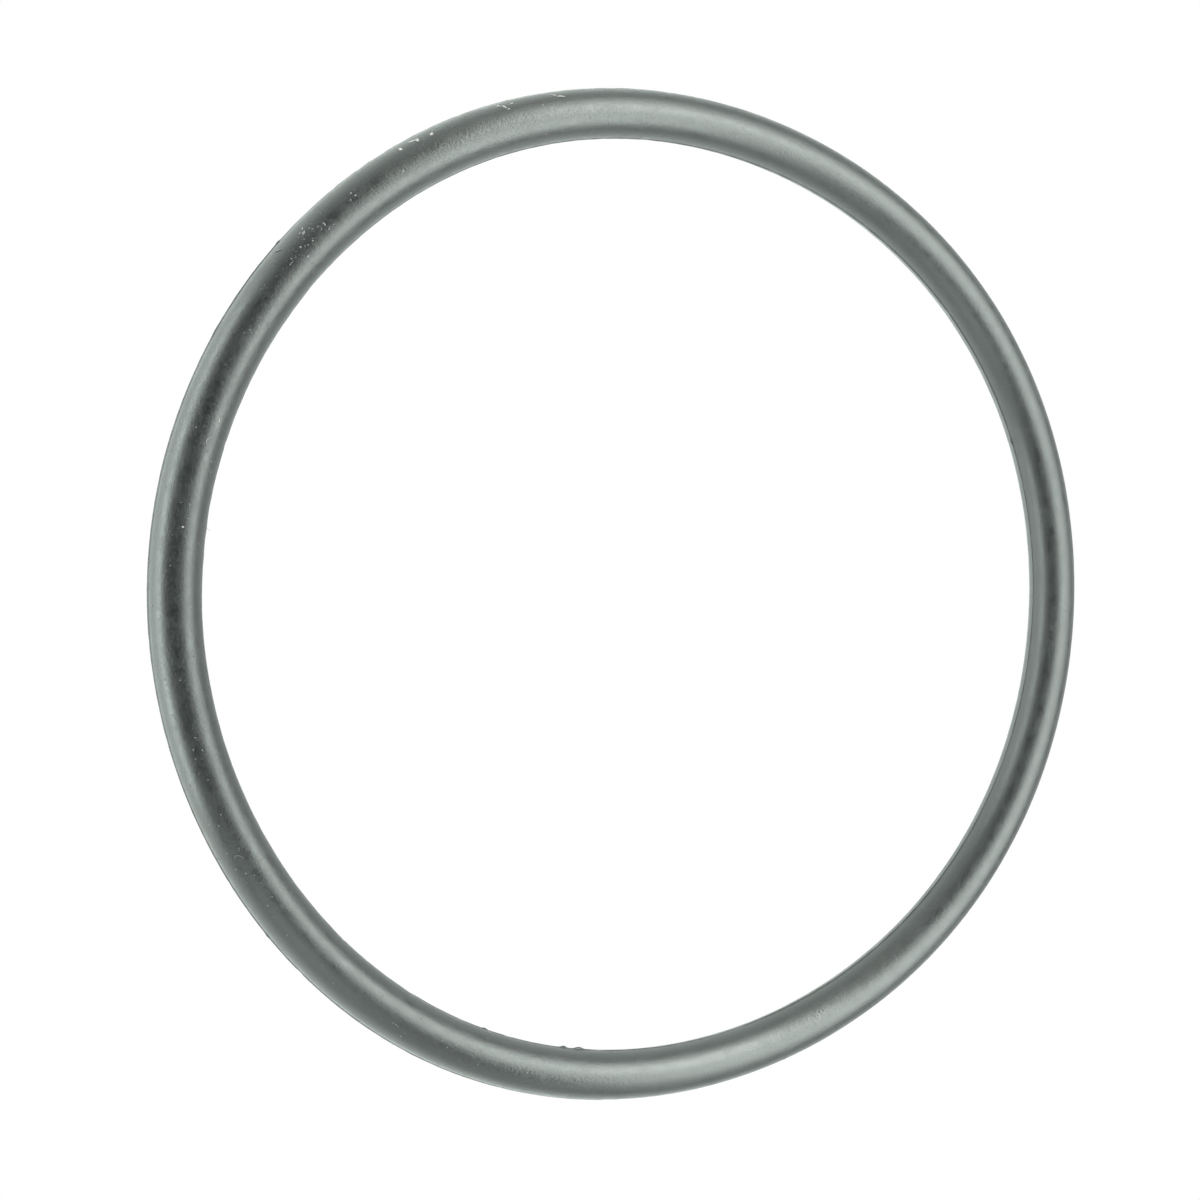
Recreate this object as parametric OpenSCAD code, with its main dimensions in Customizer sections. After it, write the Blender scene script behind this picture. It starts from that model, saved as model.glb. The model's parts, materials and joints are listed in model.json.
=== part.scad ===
// Moulded rubber o-ring, lying flat on its side.
// The axis of the ring is Z, and the underside of the section touches z = 0.

/* [Ring] */
// Inner diameter of the round section, without the flash
inner_diameter = 66.27; // [8:0.01:300]
// Diameter of the round section
section_diameter = 3.53; // [1.5:0.01:10]

/* [Parting line] */
// How far the trimmed flash stands out from the section
flash_height = 0.08; // [0.02:0.01:0.15]
// Thickness of the flash, across the flat left by trimming
flash_thickness = 0.12; // [0.05:0.01:0.3]
// Radius of the fillet between the flash and the section
flash_fillet = 0.06; // [0.01:0.01:0.15]

/* [Smoothness] */
// Facets around the ring
ring_facets = 240; // [60:1:720]
// Facets around the section
section_facets = 96; // [24:1:180]

/* [Hidden] */

section_radius = section_diameter / 2;
// Radius of the circle that the middle of the section follows
centreline_radius = inner_diameter / 2 + section_radius;
// Distance from the middle of the section to the trimmed face of the flash
crest = section_radius + flash_height;
flash_half = flash_thickness / 2;

// A fillet of this radius would leave no straight flank under the trimmed face
largest_fillet = (crest * crest - section_radius * section_radius + flash_half * flash_half)
    / (2 * section_radius - flash_thickness);
fillet_radius = min(flash_fillet, largest_fillet);

// How far the fillet's circle bites into the section, so that the two arcs cross cleanly
blend_bite = 0.002;

// Middle of the fillet's arc, which runs into the section and touches the flank of the flash
fillet_y = flash_half + fillet_radius;
fillet_reach = section_radius + fillet_radius - blend_bite;
fillet_x = sqrt(pow(fillet_reach, 2) - pow(fillet_y, 2));

// Half the width of the flash where its fillets meet the section
root_half = section_radius * fillet_y / fillet_reach;

// What is cut away above the flash: the fillet's circle, then a straight flank out to the trimmed face
module flash_flank() {
    translate([fillet_x, fillet_y]) circle(r = fillet_radius, $fn = section_facets);
    translate([fillet_x, flash_half]) square([crest, root_half]);
}

// The ridge that the two halves of the mould leave, pointing along +X
module flash_ridge() {
    difference() {
        translate([0, -root_half]) square([crest, 2 * root_half]);
        flash_flank();
        mirror([0, 1]) flash_flank();
    }
}

// The round section with a ridge on the outer and on the inner side
module section() {
    circle(r = section_radius, $fn = section_facets);
    flash_ridge();
    mirror([1, 0]) flash_ridge();
}

module o_ring() {
    color("#2c2f30")
        translate([0, 0, section_radius])
            rotate_extrude($fn = ring_facets)
                translate([centreline_radius, 0]) section();
}

o_ring();
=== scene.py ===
"""Looks for a moulded rubber o-ring that lies flat on a pale floor under soft studio light.

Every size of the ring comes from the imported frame, apart from the fillet at the root of its flash.
Lengths are in metres; a number in millimetres is written with MM, and a number in ring radii is
multiplied by RING_RADIUS.
"""

import json
import math

import bpy
import numpy as np
from mathutils import Matrix, Vector


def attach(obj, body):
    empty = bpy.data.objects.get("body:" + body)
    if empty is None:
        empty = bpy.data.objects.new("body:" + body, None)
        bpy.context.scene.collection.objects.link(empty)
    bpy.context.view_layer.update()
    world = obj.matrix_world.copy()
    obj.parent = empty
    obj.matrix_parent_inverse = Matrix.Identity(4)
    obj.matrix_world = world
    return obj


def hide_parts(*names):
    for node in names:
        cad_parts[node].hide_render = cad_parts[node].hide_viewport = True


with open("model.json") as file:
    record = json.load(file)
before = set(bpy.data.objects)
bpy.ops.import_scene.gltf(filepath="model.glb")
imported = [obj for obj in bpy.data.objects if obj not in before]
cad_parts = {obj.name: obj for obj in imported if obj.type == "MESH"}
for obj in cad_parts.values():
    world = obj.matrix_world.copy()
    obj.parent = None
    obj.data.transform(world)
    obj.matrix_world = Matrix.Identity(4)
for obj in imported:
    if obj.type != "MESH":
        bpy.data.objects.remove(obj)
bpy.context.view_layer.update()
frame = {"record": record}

MM = 0.001
DEGREE = math.pi / 180
FULL_TURN = 2 * math.pi

# Sizes of the moulding, from the frame: the two trimmed lands of the flash are its seats
seats = {seat["name"]: seat for seat in frame["record"]["mounts"]}
INNER_LAND = seats["inner_seat"]["dims"]["r_mm"] * MM
OUTER_LAND = seats["outer_seat"]["dims"]["r_mm"] * MM
FLASH_THICKNESS = seats["outer_seat"]["dims"]["length_mm"] * MM
# The underside is at z = 0, so the middle of the section is one section radius up
SECTION_RADIUS = seats["outer_seat"]["pos_m"][2]
RING_RADIUS = (INNER_LAND + OUTER_LAND) / 2
FLASH_HEIGHT = (OUTER_LAND - INNER_LAND) / 2 - SECTION_RADIUS
# The frame doesn't give the fillet, so this repeats the value in the drawing
FLASH_FILLET = 0.06 * MM
RING_CENTRE = Vector((0, 0, SECTION_RADIUS))


def add(name, data):
    """A new object in the scene."""
    obj = bpy.data.objects.new(name, data)
    bpy.context.scene.collection.objects.link(obj)
    return obj


def smooth_mesh(name, points, faces):
    """A new object of these points and faces, shaded smooth."""
    mesh = bpy.data.meshes.new(name)
    mesh.from_pydata(points, [], faces)
    mesh.shade_smooth()
    return add(name, mesh)


def joined(name, parts):
    """Many small parts in one mesh. A part is a list of points and a list of faces."""
    points, faces = [], []
    for part_points, part_faces in parts:
        start = len(points)
        points += part_points
        faces += [tuple(start + corner for corner in face) for face in part_faces]
    return smooth_mesh(name, points, faces)


def aim(obj, location, looks_along):
    """Puts obj at location, its own -Z along looks_along and its own Y as near +Y as can be."""
    back = -Vector(looks_along).normalized()
    right = Vector((0, 1, 0)).cross(back).normalized()
    turn = Matrix((right, back.cross(right), back)).transposed()
    obj.matrix_world = Matrix.Translation(location) @ turn.to_4x4()


# Camera. Its place is from the ring's centre, in ring radii, and up in the picture is along +Y.
LENS_PLACE = Vector((-1.7406, 0.0873, 3.8031))
LENS_DIRECTION = Vector((0.39134, -0.02304, -0.91996))
LENS_LENGTH_MM = 60.0
FILM_WIDTH_MM = 36.0
NEAREST_SEEN, FURTHEST_SEEN = 1 * MM, 20.0


def studio_camera():
    lens = bpy.data.cameras.new("camera")
    lens.lens = LENS_LENGTH_MM
    lens.sensor_width = FILM_WIDTH_MM
    lens.clip_start = NEAREST_SEEN
    lens.clip_end = FURTHEST_SEEN
    camera = add("camera", lens)
    aim(camera, RING_CENTRE + LENS_PLACE * RING_RADIUS, LENS_DIRECTION)
    bpy.context.scene.camera = camera


studio_camera()

# Light. Brightness 1.0 is the picture's white. Tints are red, green and blue shares: LIGHT_TINT is
# for the room, the table and the overhead panels, and the other two are for single softboxes.
LIGHT_TINT = (0.917, 1.027, 0.974)
WARM_TINT = (0.955, 1.016, 0.955)
COOL_TINT = (0.899, 1.031, 0.992)
WALL_BRIGHTEST = 10.0
# White walls to the left and to the right of the table: (elevation in degrees, brightness there)
LEFT_WALL = [(0, 4.1), (10, 4.7), (20, 2.8), (32, 0.0), (90, 0.0)]
RIGHT_WALL = [(0, 0.0), (20, 0.0), (32, 8.9), (46, 0.1), (90, 0.0)]
BACKDROP_BRIGHTNESS = 1.0

DOWN, RIGHTWARD = (0, 0, -1), (1, 0, 0)
# Softboxes: (name, centre, width, length, the way it faces, brightness, tint), in ring radii
SOFTBOXES = [
    ("overhead_near", (2.46, -0.20, 4.15), 2.06, 7.59, DOWN, 12.6, LIGHT_TINT),
    ("overhead_far", (4.52, -0.20, 4.15), 2.06, 7.59, DOWN, 11.1, LIGHT_TINT),
    ("tall_panel", (4.20, 6.95, 10.94), 3.63, 9.78, (-4.20, -6.95, -10.94), 12.1, WARM_TINT),
    ("side_strip", (-3.72, 0.66, 0.40), 0.90, 5.87, RIGHTWARD, 15.2, COOL_TINT),
    ("near_panel", (-1.70, -3.20, 3.80), 3.00, 2.40, (1.70, 3.20, -3.80), 3.9, COOL_TINT),
]

# The table, lit from below, reaches this far each way from the ring's axis
TABLE_HALF = 1.5
TABLE_GREY = 0.3
TABLE_ROUGHNESS = 0.5
# Its glow on the ring, where each rise begins and where it ends. Inside the ring it rises along
# GLOW_HEADING, in degrees from +X, and outside it falls from left to right.
GLOW_INSIDE = (0.0, 2.9)
GLOW_HEADING = 15
GLOW_OUTSIDE = (2.95, 0.0)
# The glow inside gives way to the glow outside between these two distances, in ring radii
GLOW_EDGE = (0.99, 1.01)


def tinted(brightness):
    return [brightness * tint for tint in LIGHT_TINT] + [1]


def softbox(name, centre, width, length, faces, brightness, tint):
    """A panel of even light. Its long side runs along Y."""
    lamp = bpy.data.lights.new(name, "AREA")
    lamp.shape = "RECTANGLE"
    lamp.size = width * RING_RADIUS
    lamp.size_y = length * RING_RADIUS
    lamp.color = tint
    lamp.energy = brightness * math.pi * lamp.size * lamp.size_y
    panel = add(name, lamp)
    aim(panel, RING_CENTRE + Vector(centre) * RING_RADIUS, faces)
    panel.visible_camera = False


def plain_to_camera(nodes, links, lit, plain):
    """One shader as the ring sees it, and another as the camera does."""
    rays = nodes.new("ShaderNodeLightPath")
    choice = nodes.new("ShaderNodeMixShader")
    links.new(rays.outputs["Is Camera Ray"], choice.inputs["Fac"])
    links.new(lit, choice.inputs[1])
    links.new(plain, choice.inputs[2])
    return choice.outputs[0]


def wall_ramp(nodes, links, height, steps):
    """Brightness of one wall, from its foot up to overhead."""
    ramp = nodes.new("ShaderNodeValToRGB")
    links.new(height, ramp.inputs["Fac"])
    marks = ramp.color_ramp.elements
    marks.remove(marks[-1])
    for i, (elevation, brightness) in enumerate(steps):
        position = math.sin(elevation * DEGREE)
        mark = marks[0] if i == 0 else marks.new(position)
        mark.position = position
        mark.color = tinted(brightness / WALL_BRIGHTEST)
    return ramp.outputs["Color"]


def room():
    """Light from the walls round the table, and the backdrop that the camera sees past it."""
    world = bpy.data.worlds.new("room")
    bpy.context.scene.world = world
    world.use_nodes = True
    nodes, links = world.node_tree.nodes, world.node_tree.links
    nodes.clear()
    direction = nodes.new("ShaderNodeTexCoord")
    parts = nodes.new("ShaderNodeSeparateXYZ")
    links.new(direction.outputs["Generated"], parts.inputs[0])
    # From -1 to 1 in X, so half of it and a half more goes from 0 to 1
    rightness = nodes.new("ShaderNodeMath")
    rightness.operation = "MULTIPLY_ADD"
    links.new(parts.outputs["X"], rightness.inputs[0])
    rightness.inputs[1].default_value = 0.5
    rightness.inputs[2].default_value = 0.5
    walls = nodes.new("ShaderNodeMix")
    walls.data_type = "RGBA"
    links.new(rightness.outputs[0], walls.inputs["Factor"])
    links.new(wall_ramp(nodes, links, parts.outputs["Z"], LEFT_WALL), walls.inputs["A"])
    links.new(wall_ramp(nodes, links, parts.outputs["Z"], RIGHT_WALL), walls.inputs["B"])
    light = nodes.new("ShaderNodeBackground")
    light.inputs["Strength"].default_value = WALL_BRIGHTEST
    links.new(walls.outputs["Result"], light.inputs["Color"])
    backdrop = nodes.new("ShaderNodeBackground")
    backdrop.inputs["Color"].default_value = (1, 1, 1, 1)
    backdrop.inputs["Strength"].default_value = BACKDROP_BRIGHTNESS
    out = nodes.new("ShaderNodeOutputWorld")
    seen = plain_to_camera(nodes, links, light.outputs[0], backdrop.outputs[0])
    links.new(seen, out.inputs["Surface"])


room()
for panel_facts in SOFTBOXES:
    softbox(*panel_facts)


def float_mix(nodes, links, factor, first, second):
    """A number between two others, each of which is a socket or a plain number."""
    mix = nodes.new("ShaderNodeMix")
    links.new(factor, mix.inputs["Factor"])
    for name, value in (("A", first), ("B", second)):
        if isinstance(value, float):
            mix.inputs[name].default_value = value
        else:
            links.new(value, mix.inputs[name])
    return mix.outputs["Result"]


def across_ring(nodes, links, place, degrees):
    """From 0 to 1 across the ring, along a direction on the table."""
    along = nodes.new("ShaderNodeVectorMath")
    along.operation = "DOT_PRODUCT"
    links.new(place, along.inputs[0])
    along.inputs[1].default_value = (math.cos(degrees * DEGREE), math.sin(degrees * DEGREE), 0)
    share = nodes.new("ShaderNodeMapRange")
    share.inputs["From Min"].default_value = -RING_RADIUS
    share.inputs["From Max"].default_value = RING_RADIUS
    links.new(along.outputs["Value"], share.inputs["Value"])
    return share.outputs["Result"]


def uneven_glow(nodes, links):
    """Brightness of the lit table, which differs inside and outside the ring."""
    place = nodes.new("ShaderNodeTexCoord").outputs["Object"]
    distance = nodes.new("ShaderNodeVectorMath")
    distance.operation = "LENGTH"
    links.new(place, distance.inputs[0])
    beyond = nodes.new("ShaderNodeMapRange")
    beyond.inputs["From Min"].default_value = GLOW_EDGE[0] * RING_RADIUS
    beyond.inputs["From Max"].default_value = GLOW_EDGE[1] * RING_RADIUS
    links.new(distance.outputs["Value"], beyond.inputs["Value"])
    rise_inside = across_ring(nodes, links, place, GLOW_HEADING)
    rise_outside = across_ring(nodes, links, place, 0)
    inside = float_mix(nodes, links, rise_inside, *GLOW_INSIDE)
    outside = float_mix(nodes, links, rise_outside, *GLOW_OUTSIDE)
    return float_mix(nodes, links, beyond.outputs["Result"], inside, outside)


def white_table():
    """The camera sees it plain white, and its glow on the ring is uneven."""
    finish = bpy.data.materials.new("white_table")
    finish.use_nodes = True
    nodes, links = finish.node_tree.nodes, finish.node_tree.links
    surface = nodes["Principled BSDF"]
    surface.inputs["Base Color"].default_value = (TABLE_GREY, TABLE_GREY, TABLE_GREY, 1)
    surface.inputs["Roughness"].default_value = TABLE_ROUGHNESS
    surface.inputs["Emission Color"].default_value = tinted(1)
    links.new(uneven_glow(nodes, links), surface.inputs["Emission Strength"])
    plain = nodes.new("ShaderNodeEmission")
    plain.inputs["Strength"].default_value = BACKDROP_BRIGHTNESS
    seen = plain_to_camera(nodes, links, surface.outputs[0], plain.outputs[0])
    links.new(seen, nodes["Material Output"].inputs["Surface"])
    return finish


def floor():
    half = TABLE_HALF
    mesh = bpy.data.meshes.new("floor")
    corners = [(-half, -half, 0), (half, -half, 0), (half, half, 0), (-half, half, 0)]
    mesh.from_pydata(corners, [], [(0, 1, 2, 3)])
    mesh.materials.append(white_table())
    add("floor", mesh)


floor()
bpy.context.scene.view_settings.view_transform = "Standard"


# Moulding. Steps round the ring, from flash to flash over the section, and along a fillet.
RING_STEPS = 1200
SKIN_STEPS = 26
FILLET_STEPS = 3
# Half of the trimmed land of the flash, rounded by wear: (share of the way from its middle to its
# edge, drop as a share of WEAR)
LAND_PROFILE = [(0.0, 0.0), (0.55, 0.1), (0.85, 0.5), (1.0, 1.3)]
WEAR = 0.25 * FLASH_HEIGHT
# A soft ring doesn't lie perfectly round: (waves round the ring, height in mm, ring angle of a
# crest in degrees)
OUT_OF_ROUND = [(3, 0.087, 13), (4, 0.030, 47), (5, 0.056, 33.4)]
# How many waves make up a random line or sheet, and how much their lengths differ
WANDER_WAVES, WANDER_SPREAD = 24, 0.5
RIPPLE_WAVES, RIPPLE_SPREAD = 160, 0.35
# Slow waves, pebbling and flow lines of the skin: (seed, height in mm, length in mm across the
# section, how many times as long round the ring)
SKIN_WAVES = [(5, 0.004, 9, 1.0), (6, 0.0014, 1.1, 1.0), (7, 0.0012, 0.55, 16.0)]


def ridge_rows():
    """One side of a flash, from the middle of its land to its root: (up, how proud it stands)."""
    half = FLASH_THICKNESS / 2
    fillet_up = half + FLASH_FILLET
    reach = SECTION_RADIUS + FLASH_FILLET
    fillet_out = math.sqrt(reach ** 2 - fillet_up ** 2)
    crest = SECTION_RADIUS + FLASH_HEIGHT
    rows = [(share * half, crest - drop * WEAR) for share, drop in LAND_PROFILE]
    rows.append((half, fillet_out))
    root_turn = math.pi / 2 - math.asin(fillet_up / reach)
    for i in range(1, FILLET_STEPS + 1):
        turn = -math.pi / 2 - i / FILLET_STEPS * root_turn
        up = fillet_up + FLASH_FILLET * math.sin(turn)
        rows.append((up, fillet_out + FLASH_FILLET * math.cos(turn)))
    return [(up, max(0.0, out - math.sqrt(SECTION_RADIUS ** 2 - up ** 2))) for up, out in rows]


def section_rows():
    """Rows round the section, from the middle of the outer flash over the top: (angle, proud)."""
    ridge = [(math.asin(up / SECTION_RADIUS), proud) for up, proud in ridge_rows()]
    root = ridge[-1][0]
    span = math.pi - 2 * root
    skin = [(root + span * i / SKIN_STEPS, 0.0) for i in range(1, SKIN_STEPS)]
    upper = ridge + skin + [(math.pi - turn, proud) for turn, proud in reversed(ridge)]
    lower = [(FULL_TURN - turn, proud) for turn, proud in reversed(upper[1:-1])]
    return np.array(upper + lower)


def wander(turns, seed, wavelength):
    """A smooth random line round the ring, about -1 to 1, with waves of about one wavelength."""
    draw = np.random.default_rng(seed)
    typical = FULL_TURN * RING_RADIUS / wavelength
    waves = np.round(typical * np.exp(WANDER_SPREAD * draw.normal(size=WANDER_WAVES)))
    waves = np.maximum(1, waves)
    phases = draw.uniform(0, FULL_TURN, WANDER_WAVES)
    line = np.cos(turns[:, None] * waves + phases).sum(1)
    return line / (2 * line.std())


def ripple(turns, angles, seed, wavelength, stretch):
    """Smooth random skin, about -1 to 1, stretch times as long round the ring as across it."""
    draw = np.random.default_rng(seed)
    heading = draw.uniform(0, FULL_TURN, RIPPLE_WAVES)
    length = wavelength * np.exp(RIPPLE_SPREAD * draw.normal(size=RIPPLE_WAVES))
    around = np.round(FULL_TURN * RING_RADIUS / (stretch * length) * np.cos(heading))
    across = np.round(FULL_TURN * SECTION_RADIUS / length * np.sin(heading))
    phases = draw.uniform(0, FULL_TURN, RIPPLE_WAVES)
    sheet = np.zeros((len(turns), len(angles)))
    for m, n, phase in zip(around, across, phases):
        sheet += np.cos(m * turns[:, None] + n * angles[None, :] + phase)
    return sheet / (2 * sheet.std())


def bumps(turns, marks):
    """Sum of narrow smooth bumps: marks are (ring angle in degrees, height, width in mm)."""
    line = np.zeros(len(turns))
    for degrees, height, width in marks:
        away = (turns - degrees * DEGREE + math.pi) % FULL_TURN - math.pi
        half_width = 0.5 * width * MM
        line += height * np.exp(-((away * RING_RADIUS / half_width) ** 2))
    return line


# Trimming of the flash. Heights are shares of its full height. Its usual height wanders by
# TRIM_WANDER over a long and over a short wavelength, and what the knife leaves has two limits.
TRIM_HEIGHT = 0.75
TRIM_WANDER = 0.08
TRIM_LONG, TRIM_SHORT = 14 * MM, 1.8 * MM
TRIM_LEAST, TRIM_MOST = 0.12, 1.5
# Small random nicks: how many, how deep from and to, and how wide from and to in mm
NICK_COUNT = 16
NICK_DEPTH = (0.15, 0.35)
NICK_WIDTH = (0.3, 1.0)
# Seeds of the unevenness of the two flashes
OUTER_SEED, INNER_SEED = 11, 23
# Tags of rubber left standing on the flash: (ring angle in degrees, height, width in mm)
OUTER_TAGS = [
    (139.3, 0.8, 0.25), (151.0, 0.4, 0.6), (218.4, 0.5, 0.3), (318.0, 0.6, 0.5), (64.0, 0.5, 0.5),
]
INNER_TAGS = [
    (257.6, 1.5, 0.36), (259.4, 1.3, 0.40), (259.9, 1.5, 0.40), (246.7, 1.0, 0.30),
    (21.0, 0.9, 0.4),
]
# Where the knife ran closer or further out: (ring angle in degrees from, to, change of height),
# with ends that are RUN_END degrees soft
OUTER_RUNS = [(96, 139, -0.45), (139, 187, 0.1), (300, 350, -0.3)]
INNER_RUNS = [(60, 170, -0.25), (178, 285, -0.4)]
RUN_END = 1.2


def flash_line(turns, seed, tags, runs):
    """Height of the trimmed flash round the ring, as a share of its full height."""
    draw = np.random.default_rng(seed)
    height = TRIM_HEIGHT + TRIM_WANDER * wander(turns, seed + 1, TRIM_LONG)
    height = height + TRIM_WANDER * wander(turns, seed + 2, TRIM_SHORT)
    degrees = turns / DEGREE
    for begin, end, change in runs:
        begun = 1 + np.exp(-(degrees - begin) / RUN_END)
        ended = 1 + np.exp((degrees - end) / RUN_END)
        height += change / begun / ended
    nicks = [(draw.uniform(0, 360), -draw.uniform(*NICK_DEPTH), draw.uniform(*NICK_WIDTH))
             for _ in range(NICK_COUNT)]
    trimmed = np.clip(height + bumps(turns, nicks), TRIM_LEAST, TRIM_MOST)
    return trimmed + bumps(turns, tags)


def out_of_round(turns):
    """How far the middle of the section lies outside a perfect circle, round the ring."""
    return sum(height * MM * np.cos(waves * (turns - crest * DEGREE))
               for waves, height, crest in OUT_OF_ROUND)


def uneven_skin(turns, angles):
    """How far the skin lies outside a perfect round section."""
    return sum(height * MM * ripple(turns, angles, seed, length * MM, stretch)
               for seed, height, length, stretch in SKIN_WAVES)


def moulded_ring():
    """The ring as one closed skin, with a row of points for each step round it."""
    rows = section_rows()
    turns = np.linspace(0, FULL_TURN, RING_STEPS, endpoint=False)
    angles, proud = rows[:, 0], rows[:, 1]
    outer = flash_line(turns, OUTER_SEED, OUTER_TAGS, OUTER_RUNS)
    inner = flash_line(turns, INNER_SEED, INNER_TAGS, INNER_RUNS)
    flash = np.where(np.cos(angles)[None, :] > 0, outer[:, None], inner[:, None])
    lift = flash * proud[None, :]
    skin = SECTION_RADIUS + uneven_skin(turns, angles)
    middle = RING_RADIUS + out_of_round(turns)[:, None]
    out = middle + skin * np.cos(angles) + lift * np.sign(np.cos(angles))
    # The lowest skin is pressed flat on the table
    up = np.maximum(SECTION_RADIUS + skin * np.sin(angles), 0.0)
    x, y = out * np.cos(turns)[:, None], out * np.sin(turns)[:, None]
    points = np.stack([x, y, up], -1).reshape(-1, 3)
    count = len(rows)
    i, j = np.meshgrid(np.arange(RING_STEPS), np.arange(count), indexing="ij")
    i2, j2 = (i + 1) % RING_STEPS, (j + 1) % count
    corners = [i * count + j, i2 * count + j, i2 * count + j2, i * count + j2]
    faces = np.stack(corners, -1).reshape(-1, 4)
    return smooth_mesh("moulded_ring", points.tolist(), faces.tolist())


# Finishes. Noise keeps close to its middle, so a mottle's ends are this stretch of it.
NOISE_SPAN = (0.3, 0.7)
GRAIN_DETAIL, PATCH_DETAIL = 2.0, 3.0
# How strongly the rubber's gloss is smeared, and which way, in turns from the way round the ring
GLOSS_SMEAR, GLOSS_SMEAR_TURN = 0.72, 0.25
RUBBER_IOR = 1.5
# Sockets of the shared mottle: (name, what it carries)
MOTTLE_INPUTS = [
    ("Grain Size", "Float"), ("Patch Size", "Float"), ("Patch Share", "Float"),
    ("Low Roughness", "Float"), ("High Roughness", "Float"), ("Dark", "Color"), ("Pale", "Color"),
]
MOTTLE_OUTPUTS = [("Colour", "Color"), ("Roughness", "Float"), ("Height", "Float")]


def blotches(nodes, links, place, size, detail):
    """Random blotches of about one size, which is a socket."""
    scale = nodes.new("ShaderNodeMath")
    scale.operation = "DIVIDE"
    scale.inputs[0].default_value = 1.0
    links.new(size, scale.inputs[1])
    noise = nodes.new("ShaderNodeTexNoise")
    noise.inputs["Detail"].default_value = detail
    links.new(place, noise.inputs["Vector"])
    links.new(scale.outputs[0], noise.inputs["Scale"])
    return noise.outputs["Fac"]


def mottle_group():
    """Two sizes of blotch, mixed: gives a colour, a roughness and a height for fine grain."""
    group = bpy.data.node_groups.new("mottle", "ShaderNodeTree")
    for direction, sockets in (("INPUT", MOTTLE_INPUTS), ("OUTPUT", MOTTLE_OUTPUTS)):
        for name, kind in sockets:
            group.interface.new_socket(name, in_out=direction, socket_type="NodeSocket" + kind)
    nodes, links = group.nodes, group.links
    given = nodes.new("NodeGroupInput").outputs
    result = nodes.new("NodeGroupOutput").inputs
    place = nodes.new("ShaderNodeTexCoord").outputs["Object"]
    grain = blotches(nodes, links, place, given["Grain Size"], GRAIN_DETAIL)
    patches = blotches(nodes, links, place, given["Patch Size"], PATCH_DETAIL)
    spread = nodes.new("ShaderNodeMapRange")
    spread.inputs["From Min"].default_value, spread.inputs["From Max"].default_value = NOISE_SPAN
    blend = float_mix(nodes, links, given["Patch Share"], grain, patches)
    links.new(blend, spread.inputs["Value"])
    colour = nodes.new("ShaderNodeMix")
    colour.data_type = "RGBA"
    links.new(spread.outputs["Result"], colour.inputs["Factor"])
    links.new(given["Dark"], colour.inputs["A"])
    links.new(given["Pale"], colour.inputs["B"])
    links.new(colour.outputs["Result"], result["Colour"])
    roughness = nodes.new("ShaderNodeMapRange")
    links.new(spread.outputs["Result"], roughness.inputs["Value"])
    links.new(given["Low Roughness"], roughness.inputs["To Min"])
    links.new(given["High Roughness"], roughness.inputs["To Max"])
    links.new(roughness.outputs["Result"], result["Roughness"])
    links.new(grain, result["Height"])
    return group


MOTTLE = mottle_group()


def mottled_finish(name, grain, patch, patch_share, dark, pale, roughness, relief):
    """A material whose colour, gloss and fine relief are mottled."""
    finish = bpy.data.materials.new(name)
    finish.use_nodes = True
    nodes, links = finish.node_tree.nodes, finish.node_tree.links
    surface = nodes["Principled BSDF"]
    mottle = nodes.new("ShaderNodeGroup")
    mottle.node_tree = MOTTLE
    mottle.inputs["Grain Size"].default_value = grain
    mottle.inputs["Patch Size"].default_value = patch
    mottle.inputs["Patch Share"].default_value = patch_share
    mottle.inputs["Low Roughness"].default_value = roughness[0]
    mottle.inputs["High Roughness"].default_value = roughness[1]
    mottle.inputs["Dark"].default_value = (*dark, 1)
    mottle.inputs["Pale"].default_value = (*pale, 1)
    links.new(mottle.outputs["Colour"], surface.inputs["Base Color"])
    links.new(mottle.outputs["Roughness"], surface.inputs["Roughness"])
    bump = nodes.new("ShaderNodeBump")
    bump.inputs["Distance"].default_value = relief
    links.new(mottle.outputs["Height"], bump.inputs["Height"])
    links.new(bump.outputs["Normal"], surface.inputs["Normal"])
    return finish


def rubber():
    """Matte black rubber. Its gloss is smeared across the fine flow lines of the moulding."""
    finish = mottled_finish(
        "black_rubber", grain=0.17 * MM, patch=1.1 * MM, patch_share=0.45,
        dark=(0.0016, 0.0015, 0.0016), pale=(0.0070, 0.0067, 0.0069),
        roughness=(0.28, 0.43), relief=0.011 * MM)
    nodes, links = finish.node_tree.nodes, finish.node_tree.links
    surface = nodes["Principled BSDF"]
    surface.inputs["Anisotropic"].default_value = GLOSS_SMEAR
    surface.inputs["Anisotropic Rotation"].default_value = GLOSS_SMEAR_TURN
    surface.inputs["IOR"].default_value = RUBBER_IOR
    smear = nodes.new("ShaderNodeTangent")
    smear.direction_type = "RADIAL"
    smear.axis = "Z"
    links.new(smear.outputs[0], surface.inputs["Tangent"])
    return finish


def dirt_finish(name, dark, pale):
    """Dull lint or dust, between two colours."""
    return mottled_finish(
        name, grain=0.06 * MM, patch=0.5 * MM, patch_share=0.7, dark=dark, pale=pale,
        roughness=(0.7, 0.95), relief=0.006 * MM)


def on_skin(turn, angle, lift):
    """A point lifted off the round skin, and the skin's ways there: round the ring, across, out."""
    outward = Vector((math.cos(turn), math.sin(turn), 0))
    middle = outward * (RING_RADIUS + out_of_round(turn))
    out = outward * math.cos(angle) + Vector((0, 0, math.sin(angle)))
    along = Vector((-math.sin(turn), math.cos(turn), 0))
    across = Vector((0, 0, math.cos(angle))) - outward * math.sin(angle)
    return RING_CENTRE + middle + out * (SECTION_RADIUS + lift), along, across, out


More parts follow.
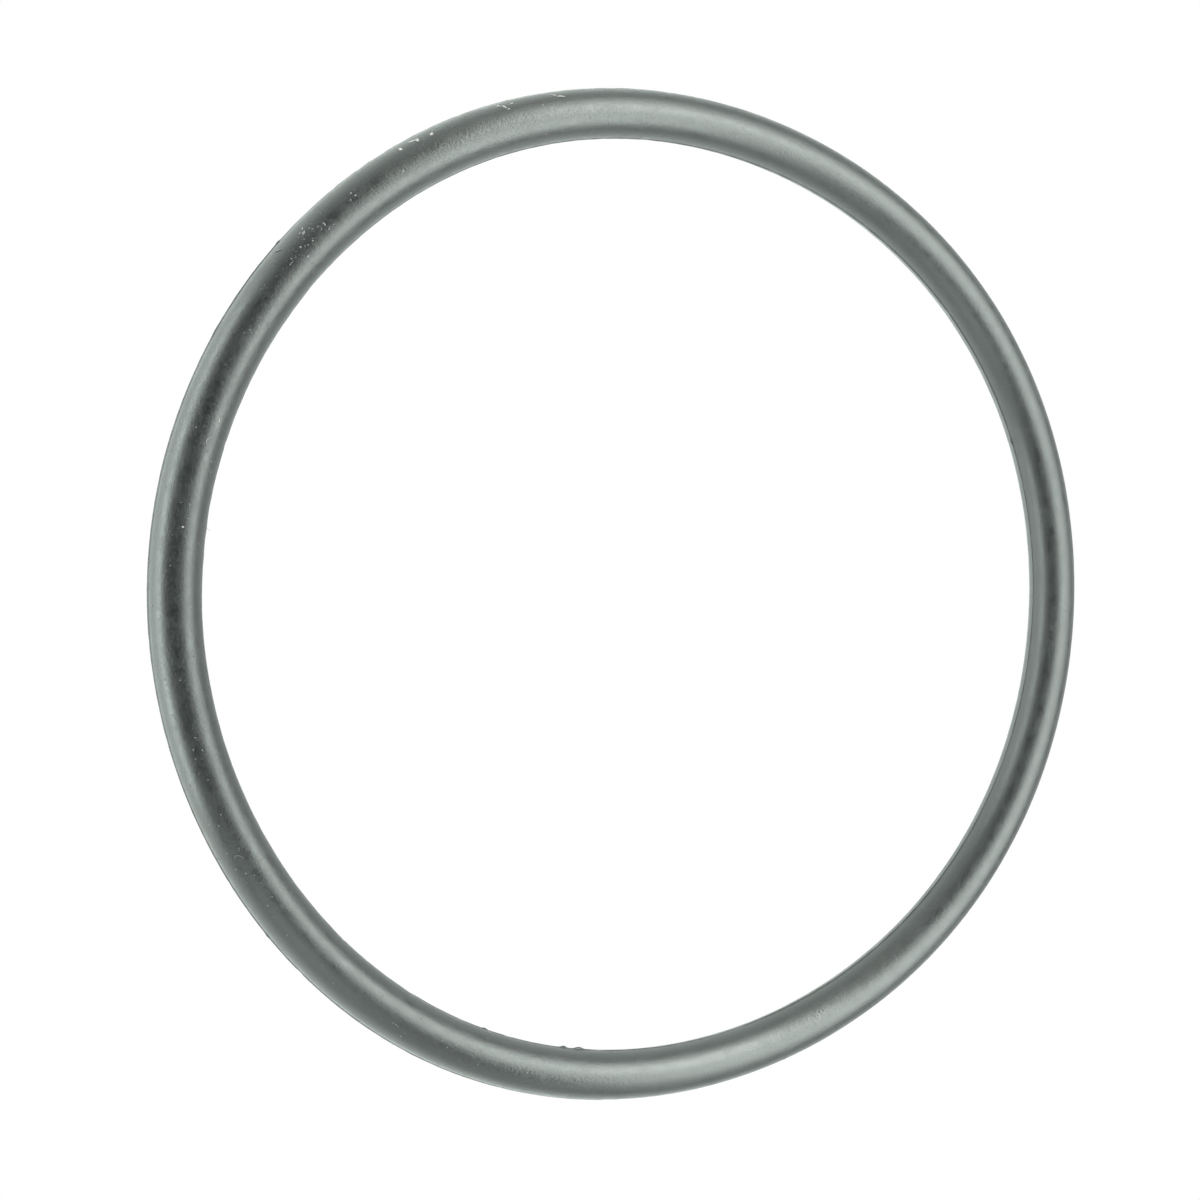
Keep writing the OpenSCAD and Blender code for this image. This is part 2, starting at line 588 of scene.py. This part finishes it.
# Dirt. Ring angles are in degrees, and an angle up round the section is 0 at the outer side, 90 on
# top and 180 at the inner side. Sizes are in mm, and a heading is in degrees from the way round.
# Flakes that can be made out one by one: (ring angle, angle up, length, width, heading)
BRIGHT_FLAKES = [
    (118.6, 43, 0.32, 0.20, 60), (120.3, 39, 0.42, 0.24, 70), (120.9, 33, 0.52, 0.18, -10),
    (122.5, 38, 0.34, 0.22, 80), (159.9, 111, 0.20, 0.13, 30), (172.1, 87, 0.16, 0.12, 90),
    (103.2, 39, 0.34, 0.14, -32), (102.5, 47, 0.50, 0.14, -15), (109.9, 35, 0.42, 0.11, -66),
    (109.4, 44, 0.46, 0.12, -73), (109.1, 54, 0.20, 0.11, -20), (108.4, 38, 0.36, 0.10, 22),
]
MIDDLING_FLAKES = [
    (118.2, 33, 0.15, 0.13, 0), (134.9, 72, 0.26, 0.10, 75), (134.9, 86, 0.28, 0.09, 30),
    (137.4, 46, 0.16, 0.12, 0), (136.8, 42, 0.26, 0.09, 60), (137.1, 52, 0.30, 0.12, 20),
    (137.2, 80, 0.15, 0.11, 0), (137.9, 78, 0.20, 0.10, 80), (161.0, 117, 0.16, 0.12, 20),
    (180.5, 24, 0.18, 0.12, 0), (181.9, 41, 0.17, 0.14, 0), (180.7, 113, 0.19, 0.12, 10),
    (199.4, 113, 0.13, 0.10, 40), (109.8, 37, 0.12, 0.10, 0), (130.1, 71, 0.14, 0.11, 30),
    (124.0, 88, 0.26, 0.15, 30), (105.1, 65, 0.22, 0.14, 40),
]
FAINT_FLAKES = [
    (113.2, 43, 0.14, 0.10, 0), (130.9, 72, 0.16, 0.12, 60), (130.6, 90, 0.15, 0.12, 0),
    (138.9, 95, 0.24, 0.14, 20), (140.9, 77, 0.20, 0.09, 30), (147.8, 116, 0.20, 0.10, 50),
    (150.0, 79, 0.14, 0.10, 0), (152.0, 106, 0.15, 0.09, 20), (153.5, 119, 0.13, 0.10, 70),
    (155.8, 136, 0.30, 0.08, 50), (157.6, 45, 0.14, 0.11, 0), (158.1, 96, 0.21, 0.11, 0),
    (160.5, 104, 0.14, 0.10, 0), (163.5, 108, 0.16, 0.10, 40), (165.5, 145, 0.14, 0.10, 0),
    (169.6, 94, 0.13, 0.10, 0), (173.7, 131, 0.14, 0.10, 30), (176.8, 29, 0.13, 0.10, 0),
    (194.9, 81, 0.14, 0.10, 60), (196.1, 70, 0.14, 0.10, 0), (196.4, 88, 0.13, 0.09, 0),
    (199.0, 110, 0.11, 0.09, 0), (207.9, 50, 0.14, 0.10, 0), (209.9, 50, 0.16, 0.10, 30),
    (210.8, 65, 0.13, 0.09, 0), (219.1, 59, 0.13, 0.10, 0), (225.9, 98, 0.14, 0.09, 0),
    (232.2, 109, 0.13, 0.09, 0), (234.9, 71, 0.12, 0.09, 0), (237.6, 112, 0.13, 0.09, 0),
    (252.4, 86, 0.13, 0.09, 0), (47.3, 118, 0.13, 0.09, 0), (78.2, 101, 0.12, 0.09, 0),
    (99.6, 109, 0.14, 0.09, 0),
]
# A flake is a squashed ball, with rings of FLAKE_SIDES points at these heights, in radii
FLAKE_SIDES = 8
FLAKE_LEVELS = (0.65, 0.0, -0.65)
# Its thickness as a share of its width, how uneven it is and within which limits, and how high its
# middle sits off the skin, as a share of its thickness
FLAKE_THICKNESS = 0.18
FLAKE_UNEVENNESS = 0.22
FLAKE_LEAST, FLAKE_MOST = 0.5, 1.4
FLAKE_LIFT = 0.15
# Where finer dust has settled: (ring angle, its spread, angle up, its spread, how many)
DUST_FALLS = [
    (136.5, 2.2, 74, 16, 46), (138.5, 2.5, 60, 20, 30), (119.5, 3.5, 45, 12, 22),
    (150.0, 7.0, 95, 28, 40), (161.0, 3.0, 135, 14, 30), (172.0, 9.0, 90, 40, 40),
    (203.0, 12.0, 75, 35, 42), (233.0, 12.0, 90, 30, 26), (88.0, 14.0, 100, 35, 22),
    (95.0, 22.0, 95, 35, 60), (180.0, 110.0, 90, 45, 140),
]
# A speck's usual length in mm, how much that differs, and the longest
DUST_LENGTH, DUST_LENGTH_SPREAD, DUST_LONGEST = 0.075, 0.4, 0.16
# A speck's width as a share of its length, from and to, and the outermost and innermost angle up
DUST_WIDTH = (0.45, 0.95)
DUST_OUTERMOST, DUST_INNERMOST = 5, 175
DUST_PLACE_SEED, DUST_SHAPE_SEED = 42, 43
# Fibres: (ring angle, angle up, length, thickness, heading, bend in degrees per mm, rise in
# degrees off the skin)
FIBRES = [
    (140.0, 37, 0.50, 0.080, -45, 15, 0), (162.0, 103.6, 0.66, 0.105, -65, 190, 0),
    (130.5, 90, 0.55, 0.025, 100, 60, 0), (208.5, 64, 0.60, 0.025, 70, -90, 0),
    (235.0, 75, 0.50, 0.025, -30, 80, 0), (98.9, 140, 0.45, 0.025, 20, 60, 0),
    (305.0, 110, 0.60, 0.022, 50, 70, 0), (20.0, 100, 0.50, 0.022, -60, 60, 0),
    (171.6, 180, 0.40, 0.024, 0, 0, 52),
]
FIBRE_SIDES = 6
FIBRE_STEP = 0.05 * MM
# The share of a fibre's thickness that stays even, while the rest swells towards its middle, and
# the share of its length at each end that doesn't taper
FIBRE_EVEN = 0.35
FIBRE_BLUNT_END = 0.12
# How high its middle runs off the skin, as a share of its radius
FIBRE_LIFT = 0.6


def flake_shape():
    """Points and faces of a ball, to be squashed into a flake."""
    sides = FLAKE_SIDES
    points = [(0, 0, 1)]
    for level in FLAKE_LEVELS:
        reach = math.sqrt(1 - level ** 2)
        for k in range(sides):
            turn = FULL_TURN * k / sides
            points.append((reach * math.cos(turn), reach * math.sin(turn), level))
    points.append((0, 0, -1))
    first_rows = [1 + sides * level for level in range(len(FLAKE_LEVELS))]
    faces = [(0, 1 + k, 1 + (k + 1) % sides) for k in range(sides)]
    for row in first_rows[:-1]:
        below = row + sides
        faces += [(row + k, below + k, below + (k + 1) % sides, row + (k + 1) % sides)
                  for k in range(sides)]
    last, foot = first_rows[-1], len(points) - 1
    faces += [(foot, last + (k + 1) % sides, last + k) for k in range(sides)]
    return np.array(points, float), faces


def flake(draw, turn, angle, length, width, heading):
    """Points and faces of one irregular flake that lies flat on the skin, sunk a little into it."""
    ball, faces = flake_shape()
    thick = FLAKE_THICKNESS * width
    swell = 1 + FLAKE_UNEVENNESS * draw.normal(size=(len(ball), 1))
    ball = ball * swell.clip(FLAKE_LEAST, FLAKE_MOST)
    centre, along, across, out = on_skin(turn, angle, FLAKE_LIFT * thick)
    main = along * math.cos(heading) + across * math.sin(heading)
    side = out.cross(main)
    axes = [np.array(main) * length / 2, np.array(side) * width / 2, np.array(out) * thick]
    return (ball @ np.array(axes) + np.array(centre)).tolist(), faces


def flakes(name, seed, places):
    """Many flakes in one mesh. A place is (turn, angle, length, width, heading), in radians."""
    draw = np.random.default_rng(seed)
    return joined(name, [flake(draw, *place) for place in places])


def single_flakes(name, seed, marks):
    places = [(turn * DEGREE, angle * DEGREE, length * MM, width * MM, heading * DEGREE)
              for turn, angle, length, width, heading in marks]
    return flakes(name, seed, places)


def settled_dust():
    draw = np.random.default_rng(DUST_PLACE_SEED)
    places = []
    for turn, turn_spread, angle, angle_spread, count in DUST_FALLS:
        for _ in range(count):
            length = DUST_LENGTH * math.exp(DUST_LENGTH_SPREAD * draw.normal())
            length = min(DUST_LONGEST, length) * MM
            speck_turn = turn + turn_spread * draw.normal()
            speck_angle = max(angle + angle_spread * draw.normal(), DUST_OUTERMOST)
            speck_angle = min(speck_angle, DUST_INNERMOST)
            width = length * draw.uniform(*DUST_WIDTH)
            heading = draw.uniform(0, math.pi)
            places.append((speck_turn * DEGREE, speck_angle * DEGREE, length, width, heading))
    return flakes("settled_dust", DUST_SHAPE_SEED, places)


def fibre(turn, angle, length, thickness, heading, bend, rise):
    """Points and faces of one fine curved thread, a round row of points for each step along it."""
    turn, angle, heading, rise = turn * DEGREE, angle * DEGREE, heading * DEGREE, rise * DEGREE
    flat_step, height = FIBRE_STEP * math.cos(rise), 0.0
    count = round(length * MM / FIBRE_STEP)
    points = []
    for i in range(count + 1):
        share = min(max(i / count, FIBRE_BLUNT_END), 1 - FIBRE_BLUNT_END)
        swell = FIBRE_EVEN + (1 - FIBRE_EVEN) * math.sin(math.pi * share)
        radius = 0.5 * thickness * MM * swell
        centre, along, across, out = on_skin(turn, angle, FIBRE_LIFT * radius + height)
        flat = along * math.cos(heading) + across * math.sin(heading)
        side = out.cross(flat)
        top = out * math.cos(rise) - flat * math.sin(rise)
        sideways, upward = side * radius, top * radius
        for k in range(FIBRE_SIDES):
            around = FULL_TURN * k / FIBRE_SIDES
            points.append(tuple(centre + sideways * math.cos(around) + upward * math.sin(around)))
        from_axis = RING_RADIUS + SECTION_RADIUS * math.cos(angle)
        turn += flat_step * math.cos(heading) / from_axis
        angle += flat_step * math.sin(heading) / SECTION_RADIUS
        height += FIBRE_STEP * math.sin(rise)
        heading += bend * DEGREE * FIBRE_STEP / MM
    return points, tube_faces(count, FIBRE_SIDES)


def tube_faces(count, sides):
    """Faces of a closed tube of count steps."""
    faces = []
    for row in range(0, count * sides, sides):
        above = row + sides
        faces += [(row + k, row + (k + 1) % sides, above + (k + 1) % sides, above + k)
                  for k in range(sides)]
    faces.append(tuple(reversed(range(sides))))
    faces.append(tuple(count * sides + k for k in range(sides)))
    return faces


def fibres():
    """Threads of lint that lie on the skin, and one hair that stands out from the inner edge."""
    return joined("lint_fibres", [fibre(*facts) for facts in FIBRES])


ring = moulded_ring()
ring.data.materials.append(rubber())
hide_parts("o_ring")

pale_dirt = dirt_finish("pale_lint", (0.11, 0.098, 0.100), (0.29, 0.260, 0.254))
soft_dirt = dirt_finish("soft_lint", (0.050, 0.044, 0.047), (0.148, 0.131, 0.138))
grey_dirt = dirt_finish("grey_dust", (0.026, 0.024, 0.026), (0.100, 0.092, 0.100))
dirt = [(single_flakes("bright_flakes", 41, BRIGHT_FLAKES), pale_dirt),
        (single_flakes("middling_flakes", 44, MIDDLING_FLAKES), soft_dirt),
        (single_flakes("faint_flakes", 45, FAINT_FLAKES), grey_dirt),
        (fibres(), soft_dirt), (settled_dust(), grey_dirt)]
for piece, finish in dirt:
    piece.data.materials.append(finish)
for piece in [ring] + [piece for piece, _ in dirt]:
    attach(piece, "root")
